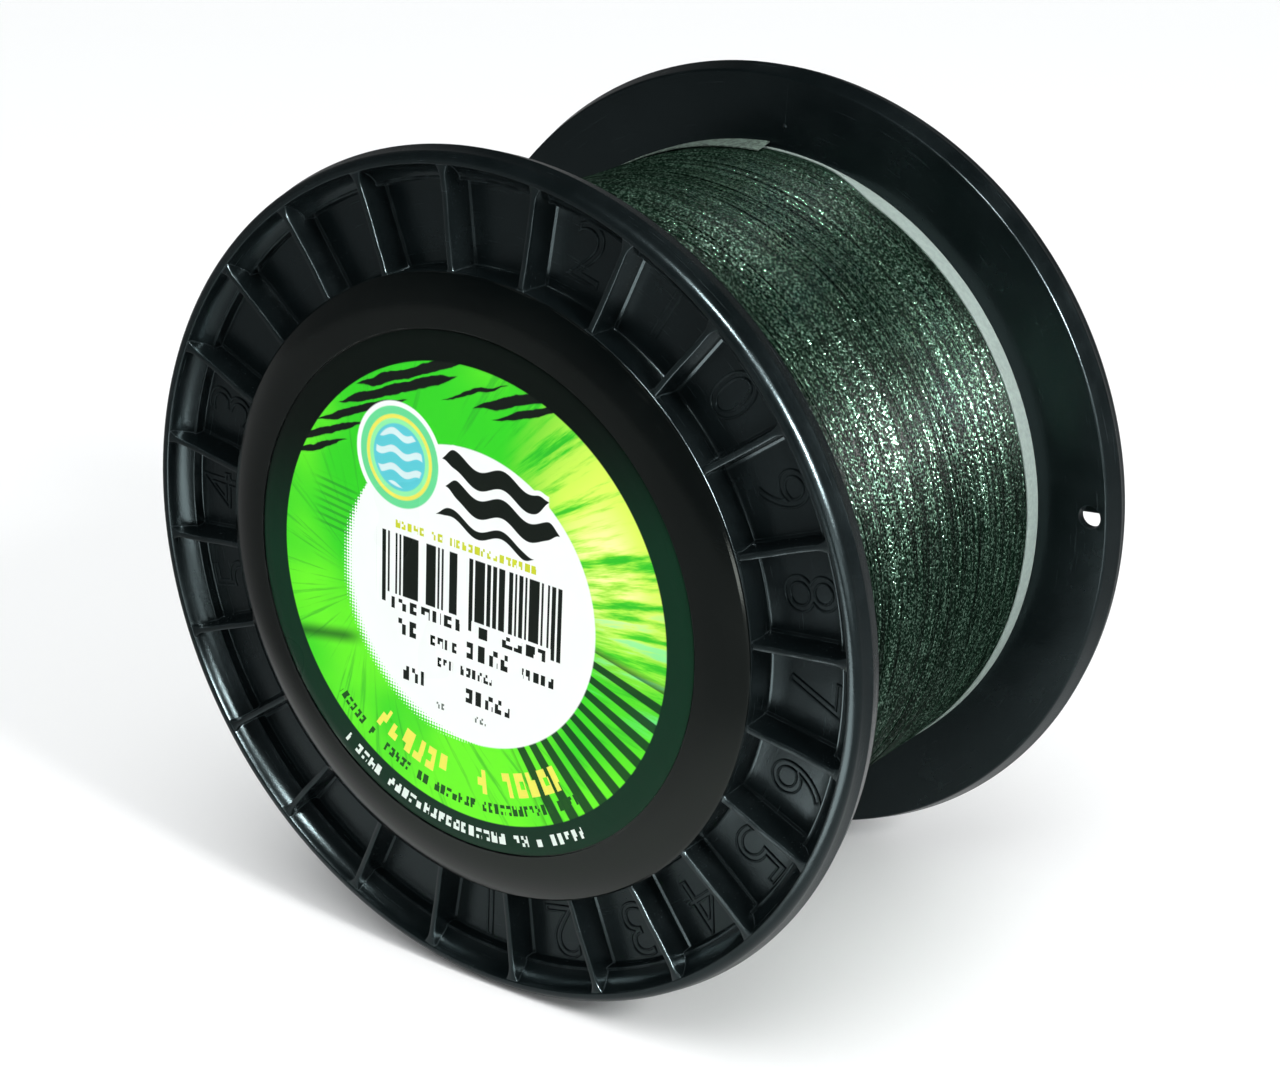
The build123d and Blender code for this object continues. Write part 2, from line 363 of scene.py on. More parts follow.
def addRib(angle, s, place, verts, faces, seed):
    # one thin wavy rib with rounded root, soft top and a small web at the rim
    rows, start, end = s["ribSteps"], s["boss"] - 0.4, s["lipOut"] - s["lipWidth"] + 0.42
    base, low, fillet = len(verts), -s["floor"], s["fillet"]
    for k in range(rows + 1):
        t = k / rows
        r = start + (end - start) * t
        wave = s["waviness"] * noise.noise((t * 5.3, seed * 3.1, 0.4))
        topOut = -s["ribDrop"] + 0.72 * wave - 0.10 * math.sin(math.pi * t)
        web = max(0, (t - 0.86) / 0.14) ** 1.6
        inner = max(0, (0.06 - t) / 0.06) ** 2
        top = s["ribTop"] + 0.35 * abs(wave) + (s["gusset"] - s["ribTop"]) * web + 0.5 * inner
        root = s["ribRoot"] + 0.5 * inner
        lean = 0.16 * noise.noise((t * 2.1, seed * 7.7, 2.0))
        half = [(root + fillet, low - 0.25), (root + fillet, low), (root + 0.14, low + 0.13), (root, low + fillet),
                (s["ribTop"] + 0.06 + 0.3 * web, topOut - 1.35), (top, topOut - 0.55 + 0.1 * web),
                (top, topOut - 0.16), (top - 0.06, topOut - 0.05), (top - 0.17, topOut)]
        section = [(-y, out) for y, out in half] + [(y, out) for y, out in reversed(half)]
        for y, out in section:
            share = max(0, (out + s["floor"]) / s["floor"])
            verts.append(place(*turnedPoint(r, y + lean * share, math.radians(angle)), out))
    faces += tubeFaces(base, rows, len(section))


def cutTieHole(piece, s, place, holeAt):
    # hole through the wall and the flat pad it starts from, cut while the dish is still plain
    verts, count = [], s["holeSides"]
    x0, y0 = ringPoint(s["holeRadius"], holeAt)
    for out in (-9, 3):
        for k in range(count):
            dx, dy = ringPoint(s["holeSize"] / 2, 360 * k / count)
            verts.append(place(x0 + dx, y0 + dy, out))
    faces = [(k, (k + 1) % count, count + (k + 1) % count, count + k) for k in range(count)]
    faces += [tuple(range(count)), tuple(range(2 * count - 1, count - 1, -1))]
    padIn, padOut, padHalf = s["ledge"] - 1.55, s["holeRadius"] + s["holeSize"] / 2, s["padWidth"] / 2
    start = len(verts)
    for out in (-s["floor"], 1):
        for r, t in ((padIn, -padHalf), (padOut, -padHalf), (padOut, padHalf), (padIn, padHalf)):
            verts.append(place(*turnedPoint(r, t, math.radians(holeAt)), out))
    box = ((0, 1, 2, 3), (7, 6, 5, 4), (0, 4, 5, 1), (1, 5, 6, 2), (2, 6, 7, 3), (3, 7, 4, 0))
    faces += [tuple(start + i for i in f) for f in box]
    cutter = makeMesh("tieHoleCutter", verts, faces)
    turnOutward(cutter)
    cut = piece.modifiers.new("tieHole", "BOOLEAN")
    cut.operation, cut.solver, cut.object, cut.use_self = "DIFFERENCE", "EXACT", cutter, True
    done = finishedMesh(piece)
    piece.modifiers.clear()
    piece.data = done
    bpy.data.objects.remove(cutter)


def makeFlange(name, place, turned, holeAt=None):
    s = dict(flangeShape, flange=spool["flange"])
    verts, faces = [], []
    lathe(flangeProfile(s), s["segments"], place, verts, faces)
    piece = makeMesh(name, verts, faces)
    turnOutward(piece)
    if holeAt is not None:
        cutTieHole(piece, s, place, holeAt)
    ribVerts, ribFaces = [], []
    for k in range(s["ribs"]):
        addRib(s["firstRib"] + turned + k * 360 / s["ribs"], s, place, ribVerts, ribFaces, k + turned)
    ribs = makeMesh(name + "Ribs", ribVerts, ribFaces, 40)
    turnOutward(ribs)
    bpy.ops.object.select_all(action="DESELECT")
    ribs.select_set(True)
    piece.select_set(True)
    bpy.context.view_layer.objects.active = piece
    bpy.ops.object.join()
    piece.data.set_sharp_from_angle(angle=math.radians(36))
    piece.data.materials.clear()
    piece.data.materials.append(flangePlastic)
    return piece


frontFlange = makeFlange("frontFlangeDish", toFront, 0)
rearFlange = makeFlange("rearFlangeDish", toRear, 6, holeAt=177)

# parting line and small pip left by the mould on the winding face of the rear flange
witnessMark = {"angle": 85.4, "inner": 48.3, "outer": 55.2, "half": 0.09, "height": 0.06, "steps": 24, "bow": 0.08,
               "pip": 49.2, "pipRadius": 0.34, "pipHeight": 0.2, "pipRings": 5, "pipSides": 20, "lift": 0.05}


def makeWitnessMark():
    m = witnessMark
    verts, faces, a = [], [], math.radians(m["angle"])
    face = (spool["lip"] - flangeShape["face"] + m["lift"]) * mm

    def put(r, t, rise):
        x, z = turnedPoint(r, t, a)
        verts.append((x * mm, face - rise * mm, z * mm))

    steps = m["steps"]
    for k in range(steps + 1):
        r = m["inner"] + (m["outer"] - m["inner"]) * k / steps
        bow = m["bow"] * noise.noise((k * 0.4, 1.7, 0.0))
        for t, rise in ((-m["half"], 0), (0, m["height"]), (m["half"], 0)):
            put(r, t + bow, rise)
    for k in range(steps):
        for j in range(2):
            faces.append((3 * k + j, 3 * k + j + 1, 3 * k + j + 4, 3 * k + j + 3))
    base, rings, count = len(verts), m["pipRings"], m["pipSides"]
    for i in range(rings + 1):
        tilt = math.pi / 2 * i / rings
        for k in range(count):
            x, y = ringPoint(m["pipRadius"] * math.cos(tilt), 360 * k / count)
            put(m["pip"] + x, y, m["pipHeight"] * math.sin(tilt))
    for i in range(rings):
        for k in range(count):
            b, c = base + i * count, (k + 1) % count
            faces.append((b + k, b + c, b + count + c, b + count + k))
    mark = makeMesh("rearWitnessMark", verts, faces, 60)
    turnOutward(mark)
    mark.data.materials.append(flangePlastic)
    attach(mark, "root")


makeWitnessMark()
for piece, node in ((frontFlange, "front_flange"), (rearFlange, "rear_flange")):
    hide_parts(node)
    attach(piece, "root")
print("flanges ready")

# raised numbers in the cells of the front flange, by the angle of the cell
cellNumbers = {"size": 11.0, "height": 0.10, "radius": 47.9, "round": 0.17, "thinner": 0.12, "sunk": 0.08,
               "cells": {-93: "1", -78: "2", -63: "3", -48: "4", -33: "5", -18: "6", -3: "7", 12: "8",
                         27: "9", 42: "0", 57: "1", 72: "2", 162: "3", 177: "4", 192: "5"}}


def makeNumbers():
    verts, faces = [], []
    c = cellNumbers
    for angle, digit in c["cells"].items():
        text = bpy.data.curves.new("digit", "FONT")
        text.body, text.size, text.align_x, text.align_y = digit, c["size"], "CENTER", "CENTER"
        text.extrude, text.bevel_depth, text.bevel_resolution, text.resolution_u = c["height"], c["round"], 2, 6
        text.offset, text.fill_mode = -c["thinner"], "NONE"
        holder = bpy.data.objects.new("digit", text)
        bpy.context.collection.objects.link(holder)
        mesh = finishedMesh(holder)
        base = len(verts)
        for v in mesh.vertices:  # digit tops point outward
            x, y = turnedPoint(c["radius"] + v.co.y, -v.co.x, math.radians(angle))
            verts.append(toFront(x, y, -flangeShape["floor"] + v.co.z - c["sunk"]))
        faces += [tuple(base + i for i in f.vertices) for f in mesh.polygons]
        bpy.data.objects.remove(holder)
    piece = makeMesh("frontCellNumbers", verts, faces, 40)
    turnOutward(piece)
    piece.data.materials.append(flangePlastic)
    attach(piece, "root")


makeNumbers()
print("cell numbers ready")

# wound line: sizes in mm, its colours, and how the braid breaks up into flecks
winding = {
    "turns": 199, "samples": 4, "columns": 220, "half": 28.85, "inner": 38.85, "ridge": 0.085,
    "ridges": (0.0, 0.78, 1.0, 0.78), "low": 0.16, "sway": 0.9, "lumps": 0.16, "proud": 0.07,
    "picks": 300.0, "fleck": 1.0, "flecksRound": 115.0, "bump": 0.030, "rough": 0.32, "fleckRough": 0.18,
    "green": (0.0007, 0.0040, 0.0020), "bright": (0.145, 0.250, 0.185), "dull": (0.0026, 0.0120, 0.0060)}


def packSway(angle, along):
    # how far a turn wanders along the axis; it dies out at both flanges
    edge = 1 - (abs(along) / winding["half"]) ** 6
    x, z = math.cos(angle), math.sin(angle)
    slow = math.sin(angle + along * 0.23) * 0.75 + 0.5 * math.sin(angle * 2 - along * 0.31)
    return winding["sway"] * edge * (slow + 0.7 * noise.noise((x * 1.6, z * 1.6, along * 0.11)))


def packLump(angle, along):
    x, z = math.cos(angle), math.sin(angle)
    crown = 0.3 * (along / winding["half"]) ** 4
    return winding["lumps"] * (noise.noise((x * 2.2, z * 2.2, along * 0.16)) - crown)


def makePack():
    w = winding
    rows, n = w["turns"] * w["samples"] + 1, w["columns"]
    verts, faces, turnOf = [], [], []
    for i in range(rows):
        turn, part = divmod(i, w["samples"])
        along0 = -w["half"] + 2 * w["half"] * i / (rows - 1)
        for k in range(n):
            angle = 2 * math.pi * k / n
            along = max(-w["half"], min(w["half"], along0 + packSway(angle, along0)))
            # some turns stand a little proud of the rest
            pushed = noise.noise((turn * 0.83, math.cos(angle) * 1.1, math.sin(angle) * 1.1)) - 0.12
            proud = max(0, pushed) * w["proud"] * 2.4 if part else 0
            r = spool["pack"] - w["low"] + w["ridge"] * w["ridges"][part] + packLump(angle, along0) * 0.5 + proud
            verts.append(aroundAxis(min(r, spool["pack"] + 0.02), along, angle))
            turnOf.append(i / w["samples"])
    for i in range(rows - 1):
        for k in range(n):
            a, b = i * n + k, i * n + (k + 1) % n
            faces.append((a, a + n, b + n, b))
    # inner wall and the two end faces
    base, last = len(verts), (rows - 1) * n
    for along in (-w["half"], w["half"]):
        for k in range(n):
            x, z = ringPoint(w["inner"], 360 * k / n)
            verts.append((x * mm, along * mm, z * mm))
            turnOf.append(0.0)
    for k in range(n):
        j = (k + 1) % n
        faces.append((k, j, base + j, base + k))
        faces.append((last + k, base + n + k, base + n + j, last + j))
        faces.append((base + k, base + j, base + n + j, base + n + k))
    piece = makeMesh("woundLine", verts, faces, 80)
    turnOutward(piece)
    storeNumbers(piece, "turnCount", turnOf)
    return piece


# single strands that climb out of the pack, cross it at a slight slant and dive back in
crossing = {"strands": 30, "thickness": 0.13, "sides": 6, "seed": 7, "sweep": (70, 210), "along": 26,
            "slant": (1.5, 6.0), "step": 1.5, "limit": 28.4, "start": 0.20, "climb": 0.13}


def makeCrossing():
    verts, faces, turnOf = [], [], []
    c = crossing
    dice = random.Random(c["seed"])
    for strand in range(c["strands"]):
        start = dice.uniform(0, 360)
        sweep = dice.uniform(*c["sweep"])
        along0 = dice.uniform(-c["along"], c["along"])
        slant = dice.choice((-1, 1)) * dice.uniform(*c["slant"])
        steps = int(sweep / c["step"])
        base = len(verts)
        for k in range(steps + 1):
            t = k / steps
            angle = math.radians(start + sweep * t)
            along = along0 + slant * (t - 0.5)
            along = max(-c["limit"], min(c["limit"], along + packSway(angle, along)))
            climb = min(1, 6 * t, 6 * (1 - t))
            r = spool["pack"] - c["start"] + packLump(angle, along) * 0.5 + c["climb"] * climb
            for j in range(c["sides"]):
                dr, da = ringPoint(c["thickness"], 360 * j / c["sides"])
                verts.append(aroundAxis(r + dr, along + da, angle))
                turnOf.append(strand * 3 + 0.5 + da / c["thickness"] * 0.5)
        faces += tubeFaces(base, steps, c["sides"])
    piece = makeMesh("crossingStrands", verts, faces, 80)
    turnOutward(piece)
    storeNumbers(piece, "turnCount", turnOf)
    return piece


# four-strand braid seen along each turn: slanted picks, a wandering shade and bright waxy flecks
def buildBraid():
    defaults = {"Picks Round": 300.0, "Fleck Size": 0.3}
    group, given, result = newGroup("braid", defaults, ["Height", "Fleck", "Shade", "Streak"])
    plus, less, times, over = sums(group, "ADD", "SUBTRACT", "MULTIPLY", "DIVIDE")
    turn = 6.283  # radians
    angle = useGroup(group, spoolCoords)["Angle"]
    count = addNode(group, "ShaderNodeAttribute", attribute_name="turnCount").outputs["Fac"]
    whole, part = sumUp(group, "FLOOR", count), sumUp(group, "FRACT", count)
    shade = addNode(group, "ShaderNodeTexWhiteNoise", {"W": whole}, noise_dimensions="1D").outputs["Value"]
    along = plus(times(angle, given["Picks Round"]), times(shade, turn))
    across = times(part, turn)
    left, right = sumUp(group, "SINE", plus(along, across)), sumUp(group, "SINE", less(along, across))
    place = combine(group, plus(times(angle, winding["flecksRound"]), times(whole, 7.3)), count)
    fleck = addNoise(group, place, over(1, given["Fleck Size"]), 1)
    streak = addNoise(group, combine(group, times(angle, 3.0), times(count, 0.30)), 1.0, 4, 0.6)
    picks = sumUp(group, "MAXIMUM", left, right)
    flecks = smoothStep(group, fleck, 0.50, 0.64)
    plugAll(group, result, {"Height": picks, "Fleck": flecks, "Shade": shade, "Streak": streak})
    return group


def makeBraidMaterial():
    w = winding
    material, tree, shader = newMaterial("braidedLine", IOR=1.5, Specular_IOR_Level=0.01)
    plus, less, times = sums(tree, "ADD", "SUBTRACT", "MULTIPLY")
    weave = useGroup(tree, buildBraid(), {"Picks Round": w["picks"], "Fleck Size": w["fleck"]})
    fleck, shade, streak = weave["Fleck"], weave["Shade"], smoothStep(tree, weave["Streak"], 0.34, 0.66)
    colour = blendColour(tree, streak, w["green"], w["dull"])
    colour = blendColour(tree, 1.0, colour, plus(0.55, times(shade, 0.7)), "MULTIPLY")
    # wax is thicker on some turns and in some streaks
    rowGloss = plus(0.22, times(sumUp(tree, "POWER", shade, 2.0), 1.1))
    wax = times(fleck, times(plus(0.25, times(streak, 0.75)), rowGloss), clamp=True)
    height = plus(times(weave["Height"], 0.5), times(fleck, 0.8))
    plugAll(tree, shader, {
        "Base Color": blendColour(tree, wax, colour, w["bright"]),
        "Metallic": wax,
        "Roughness": less(w["rough"], times(fleck, w["rough"] - w["fleckRough"])),
        "Normal": bumpFrom(tree, height, w["bump"])})
    return material


braidedLine = makeBraidMaterial()
pack = makePack()
strands = makeCrossing()
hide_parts("line_pack")
for piece in (pack, strands):
    piece.data.materials.append(braidedLine)
    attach(piece, "root")
print("wound line ready")

# tape at the rear edge of the pack: angles in degrees, sizes in mm
edgeTape = {
    "end": 88.0, "lap": 48, "width": 2.9, "thickness": 0.16, "lift": 0.65, "liftSpan": 26, "step": 1.5,
    "across": 5, "rise": 0.19, "riseSpan": 15, "tuckAt": 334, "tuckSpan": 15, "tuckShare": 0.88,
    # shaded and shadedTo: a painted shade colour and the span over which it fades out from the loose end
    "pale": (0.30, 0.37, 0.34), "shaded": (0.060, 0.085, 0.070), "shadedTo": (18, 66)}


def makeEdgeTape():
    t = edgeTape
    sweep = 360 + t["lap"]
    steps, across = int(sweep / t["step"]), t["across"]
    verts, layer = [], []
    for k in range(steps + 1):
        turned = sweep * k / steps
        angle = math.radians(t["end"] + turned)
        climb = min(1, max(0, (t["lap"] + t["riseSpan"] - turned) / t["riseSpan"]))
        lift = t["lift"] * max(0, 1 - turned / t["liftSpan"]) ** 1.5
        r = spool["pack"] + 0.03 + t["rise"] * easeIn(climb)
        wobble = 0.12 * noise.noise((turned * 0.05, 3.3, 0.0))
        # the line rides over the strip just before the overlap
        tuck = min(1, max(0, (turned - t["tuckAt"]) / t["tuckSpan"]))
        width = t["width"] * (1 - t["tuckShare"] * easeIn(tuck))
        for side in (0, 1):
            for j in range(across + 1):
                share = j / across if side == 0 else 1 - j / across
                crown = -0.05 * (2 * share - 1) ** 2 + 0.02 * noise.noise((turned * 0.12, share * 2, 1.0))
                along = winding["half"] - width * share + wobble * share
                radius = r + crown + lift * (1 - share) ** 1.3 + side * t["thickness"]
                verts.append(aroundAxis(radius, along, angle))
                layer.append(turned)
    piece = makeMesh("edgeTapeStrip", verts, tubeFaces(0, steps, 2 * (across + 1)), 50)
    turnOutward(piece)
    storeNumbers(piece, "tapeTurned", layer)
    return piece


def makeTapeMaterial(name, pale, shaded=None, shadedTo=None):
    material, tree, shader = newMaterial(name, IOR=1.46, Specular_IOR_Level=0.35)
    plus, less, times = sums(tree, "ADD", "SUBTRACT", "MULTIPLY")
    fibre = addNoise(tree, useGroup(tree, spoolCoords)["Millimetres"], 1.5, 4, 0.65)
    colour = blendColour(tree, smoothStep(tree, fibre, 0.3, 0.75), tuple(v * 0.8 for v in pale), pale)
    if shadedTo:  # painted shade: the tape is darker towards its loose end, where it lies in shade
        turned = addNode(tree, "ShaderNodeAttribute", attribute_name="tapeTurned").outputs["Fac"]
        low, high = (tuple(v * share for v in shaded) for share in (0.75, 2.1))
        dark = blendColour(tree, smoothStep(tree, fibre, 0.38, 0.62), low, high)
        colour = blendColour(tree, less(1, smoothStep(tree, turned, *shadedTo)), colour, dark)
    plugAll(tree, shader, {
        "Base Color": colour,
        "Roughness": plus(0.42, times(fibre, 0.25)),
        "Normal": bumpFrom(tree, fibre, 0.06)})
    return material


tape = makeEdgeTape()
tape.data.materials.append(makeTapeMaterial("edgeTapeFilm", edgeTape["pale"], edgeTape["shaded"], edgeTape["shadedTo"]))
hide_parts("edge_tape")
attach(tape, "root")
print("edge tape ready")

# printed label: sizes in mm, places as (right, up) from its middle
labelPrint = {
    "radius": 34.9, "thickness": 0.12, "base": 1.85, "tilt": 3.0, "discRadius": 30.9, "whiteRadius": 20.2,
    "green": (0.030, 0.60, 0.014), "lime": (0.14, 0.84, 0.016), "yellow": (0.66, 0.88, 0.10),
    "core": (0.93, 0.97, 0.40), "mint": (0.18, 0.78, 0.34), "shade": (0.02, 0.36, 0.02),
    "deep": (0.003, 0.035, 0.010), "ruled": (0.01, 0.20, 0.02), "wedge": (0.01, 0.09, 0.01),
    "edgeGreen": (0.002, 0.026, 0.011), "edgeTop": (0.0015, 0.0045, 0.003), "backing": (0.55, 0.56, 0.53),
    "white": (0.84, 0.88, 0.85), "ink": (0.006, 0.010, 0.007), "teal": (0.10, 0.55, 0.62), "gold": (0.78, 0.74, 0.10),
    "faint": (0.12, 0.15, 0.13), "olive": (0.55, 0.60, 0.02), "darkGreen": (0.01, 0.08, 0.01),
    "pale": (0.72, 0.80, 0.74),
    "emblem": (-11.5, 16.1), "emblemSize": 6.8, "ringGreen": (0.13, 0.66, 0.28), "ringLime": (0.26, 0.80, 0.36),
    # rings of the emblem: share of its size, colour
    "rings": [(1.10, "white"), (1.0, "ringGreen"), (0.84, "gold"), (0.76, "ringLime"), (0.66, "teal")],
    # dark brush strokes: place across the slant, left end, right end, half width
    "strokes": [(32.0, -17, -2, 0.75), (30.2, -20, -4, 0.70), (28.5, -24, -12, 0.60), (26.6, -28, -19, 0.55),
                (24.8, -29, -22, 0.5), (25.4, 2, 13, 0.75), (23.4, 5, 15, 0.55), (27.6, -3, 4, 0.35)],
    # wave bands beside the emblem: middle, half height, left end, right end
    "waves": [(17.2, 1.25, -3.6, 11.6), (13.4, 1.25, -3.0, 13.4), (9.9, 0.55, -4.5, 9.5)],
    # bar pattern: half width, middle guard, side guard, lower edge, upper edge, how far guards hang, bars per mm
    "bars": (15.2, 0.7, 13.4, -2.9, (5.55, 5.70), 1.5, 3.12),
    # straight rows of small blocks: low, high, start, end, pitch, seed, fill, ink
    "rows": [(-5.0, -3.4, -12.6, -1.2, 1.9, 1, 0.95, "ink"), (-5.0, -3.4, 1.4, 12.8, 1.9, 2, 0.95, "ink"),
             (-8.3, -6.1, -12.0, -8.0, 1.9, 3, 1.0, "ink"), (-8.3, -6.9, -6.4, -1.6, 1.2, 4, 0.8, "ink"),
             (-8.3, -6.0, 0.0, 7.4, 1.85, 5, 1.0, "ink"), (-8.3, -6.9, 9.0, 14.2, 1.2, 6, 0.8, "ink"),
             (-11.0, -9.7, -5.0, 4.2, 0.95, 7, 0.8, "ink"), (-14.6, -12.6, -11.0, -7.0, 1.5, 8, 1.0, "ink"),
             (-14.6, -12.6, 0.0, 7.2, 1.6, 9, 1.0, "ink"), (-17.0, -16.1, -5.0, 3.4, 0.8, 10, 0.7, "faint"),
             (6.4, 7.5, -12.0, 11.5, 1.0, 11, 0.88, "olive")],
    # rows along the edge: inner and outer radius, start and end round the edge, then the same
    "edgeRows": [(23.6, 27.0, -60.0, -26.5, 2.3, 12, 0.84, "gold"),
                 (28.1, 29.5, -66.0, -24.0, 0.95, 13, 0.86, "darkGreen"),
                 (32.2, 33.7, -61.5, -26.8, 1.05, 14, 0.86, "pale")],
    "edgeScale": 27.0, "segments": 256, "ringCount": 26, "swell": 0.035,
}


def makeLabel():
    p = labelPrint
    verts, faces, top, n = [], [], [], p["segments"]
    level, count = p["base"] + p["thickness"], p["ringCount"]
    rings = [p["radius"] * (k / count) for k in range(1, count)] + [p["radius"] - 0.06, p["radius"]]
    verts.append(toFront(0, 0, level))
    for r in rings:
        edge = -0.03 if r == p["radius"] else 0
        top.append(range(len(verts), len(verts) + n))
        for k in range(n):
            x, y = ringPoint(r, 360 * k / n)
            swell = p["swell"] * noise.noise((x * 0.09, y * 0.09, 0.7)) * min(1, (p["radius"] - r) / 6)
            verts.append(toFront(x, y, level + swell + edge))
    under = range(len(verts), len(verts) + n)
    for k in range(n):
        verts.append(toFront(*ringPoint(p["radius"], 360 * k / n), p["base"] + 0.005))
    for k in range(n):
        j = (k + 1) % n
        faces.append((0, top[0][k], top[0][j]))
        for a, b in zip(top, top[1:]):
            faces.append((a[k], b[k], b[j], a[j]))
    for k in range(n):
        j = (k + 1) % n
        faces.append((top[-1][k], under[k], under[j], top[-1][j]))
    faces.append(tuple(reversed(under)))
    piece = makeMesh("frontLabelFilm", verts, faces, 40)
    turnOutward(piece)
    return piece


# rows of small blocks of random width, where a real label carries its small print
def buildPrintRow():
    defaults = {"Along": 0.0, "Across": 0.0, "Low": 0.0, "High": 1.0, "Start": 0.0, "End": 1.0,
                "Pitch": 1.0, "Seed": 0.0, "Fill": 0.8}
    group, i, result = newGroup("printRow", defaults, ["Ink"])
    plus, less, times, over = sums(group, "ADD", "SUBTRACT", "MULTIPLY", "DIVIDE")

    def chance(x, y):
        values = {"Vector": combine(group, x, y)}
        return addNode(group, "ShaderNodeTexWhiteNoise", values, noise_dimensions="2D").outputs["Value"]

    def test(kind, a, b):
        return sumUp(group, kind + "_THAN", a, b)

    cell = over(i["Along"], i["Pitch"])
    height = over(less(i["Across"], i["Low"]), less(i["High"], i["Low"]))
    block = chance(sumUp(group, "FLOOR", cell), i["Seed"])
    fine = chance(sumUp(group, "FLOOR", times(cell, 3)), sumUp(group, "FLOOR", times(height, 3)))
    ink = test("LESS", sumUp(group, "FRACT", cell), plus(0.55, times(block, 0.35)))
    for kind, a, b in (("GREATER", height, 0), ("LESS", height, 1), ("GREATER", i["Along"], i["Start"]),
                       ("LESS", i["Along"], i["End"]), ("LESS", block, i["Fill"]), ("GREATER", fine, 0.30)):
        ink = times(ink, test(kind, a, b))
    plugAll(group, result, {"Ink": ink})
    return group


def makeLabelMaterial():
    p = labelPrint
    material, tree, shader = newMaterial("labelPrint", IOR=1.5, Specular_IOR_Level=0.16)
    plus, less, times = sums(tree, "ADD", "SUBTRACT", "MULTIPLY")
    coords = useGroup(tree, spoolCoords)
    millimetres, radius, angle = coords["Millimetres"], coords["Radius"], coords["Angle"]
    c, s = math.cos(math.radians(p["tilt"])), math.sin(math.radians(p["tilt"]))
    u = less(times(coords["Right"], c), times(coords["Up"], s))
    v = plus(times(coords["Right"], s), times(coords["Up"], c))

    def step(value, low, high):
        return smoothStep(tree, value, low, high)

    def within(value, low, high, soft=0.12):
        return times(step(value, low - soft, low + soft), less(1, step(value, high - soft, high + soft)))

    def wave(value):
        return sumUp(tree, "SINE", value)

    def lay(share, ink, under):
        return blendColour(tree, share, under, ink)

    # rays that spread from a point left of the middle, green on the left and glowing yellow on the right
    rayAngle = sumUp(tree, "ARCTAN2", plus(v, 3.0), plus(u, 16.0))
    rays = addNoise(tree, combine(tree, times(rayAngle, 8.0), times(radius, 0.02)), 2.6, 5, 0.62)
    rag = addNoise(tree, millimetres, 0.22, 3)
    wash = addNoise(tree, millimetres, 0.05, 2)
    colour = lay(step(plus(wash, times(v, -0.006)), 0.38, 0.72), p["lime"], p["green"])
    glow = times(within(angle, -0.08, 1.02, 0.30), step(radius, 12.0, 24.0))
    colour = lay(times(glow, step(rays, 0.36, 0.56)), p["yellow"], colour)
    core = times(within(angle, 0.08, 0.62, 0.22), within(radius, 19.0, 28.0, 3.0))
    colour = lay(times(core, step(rays, 0.45, 0.62)), p["core"], colour)
    minty = times(step(rays, 0.50, 0.62), within(angle, -0.34, 0.16, 0.14))
    colour = lay(times(minty, 0.75), p["mint"], colour)
    colour = lay(times(step(rays, 0.46, 0.34), 0.55), p["shade"], colour)

    # dark slanted brush strokes at the top
    slant = plus(less(v, times(u, 0.42)), times(less(rag, 0.5), 1.6))
    for place, left, right, half in p["strokes"]:
        taper = within(u, left, right, 2.6)
        gap = sumUp(tree, "ABSOLUTE", less(slant, place))
        ink = times(step(less(times(taper, half), gap), -0.10, 0.12), step(taper, 0.03, 0.15))
        colour = lay(ink, p["ink"], colour)

    # fan of dark bars at the lower right
    fan = sumUp(tree, "ARCTAN2", less(v, 5.0), plus(u, 8.0))
    fanBar = times(step(plus(wave(times(fan, 86.0)), times(fan, -0.7)), 0.10, 0.55), within(fan, -0.98, -0.20, 0.03))
    colour = lay(times(fanBar, 0.95), p["deep"], colour)

    # fine ruled lines at the left, and a soft dark wedge below them
    slope = plus(v, times(u, 0.10))
    ruled = times(step(wave(times(slope, 6.2)), 0.0, 0.7), within(slope, 0.6, 8.0, 0.5))
    colour = lay(times(times(ruled, within(u, -25.0, -18.5, 1.8)), 0.55), p["ruled"], colour)
    wedge = times(within(less(v, times(u, 0.20)), -8.2, -6.6, 0.9), within(u, -31.0, -18.5, 2.5))
    colour = lay(times(wedge, 0.85), p["wedge"], colour)

    # deep green outer ring, darkest at the top
    ring = blendColour(tree, step(less(v, times(u, 0.25)), 4.0, 26.0), p["edgeGreen"], p["edgeTop"])
    colour = lay(step(radius, p["discRadius"] - 0.10, p["discRadius"] + 0.10), ring, colour)

    # white middle, its lower left edge broken into a raster of dots
    dots = times(wave(times(plus(u, v), 7.0)), wave(times(less(u, v), 7.0)))
    ragged = times(dots, times(step(less(times(u, -1.0), times(v, 0.6)), 8.0, 20.0), 0.9))
    outside = step(plus(radius, ragged), p["whiteRadius"] - 0.12, p["whiteRadius"] + 0.12)
    colour = lay(less(1, outside), p["white"], colour)

    # plain bar pattern: random widths, the same every time
    half, middle, side, low, high, hang, perMm = p["bars"]
    barIndex = sumUp(tree, "FLOOR", times(plus(u, half), perMm))
    bar = addNode(tree, "ShaderNodeTexWhiteNoise", {"W": plus(barIndex, 12.5)}, noise_dimensions="1D")
    guard = plus(within(u, -half, -side, 0.02), plus(within(u, -middle, middle, 0.02), within(u, side, half, 0.02)))
    tall = times(step(less(v, less(low, times(guard, hang))), -0.06, 0.06), less(1, step(v, *high)))
    colour = lay(times(step(bar.outputs["Value"], 0.44, 0.45), times(within(u, -half, half, 0.03), tall)), p["ink"], colour)

    # rows of blocks for the small print, straight ones first and then those along the edge
    printRow, curved = buildPrintRow(), times(angle, p["edgeScale"])
    rows = [(u, v, *row) for row in p["rows"]] + [(curved, radius, *row) for row in p["edgeRows"]]
    for row in rows:
        titles = ("Along", "Across", "Low", "High", "Start", "End", "Pitch", "Seed", "Fill")
        colour = lay(useGroup(tree, printRow, dict(zip(titles, row)))["Ink"], p[row[-1]], colour)

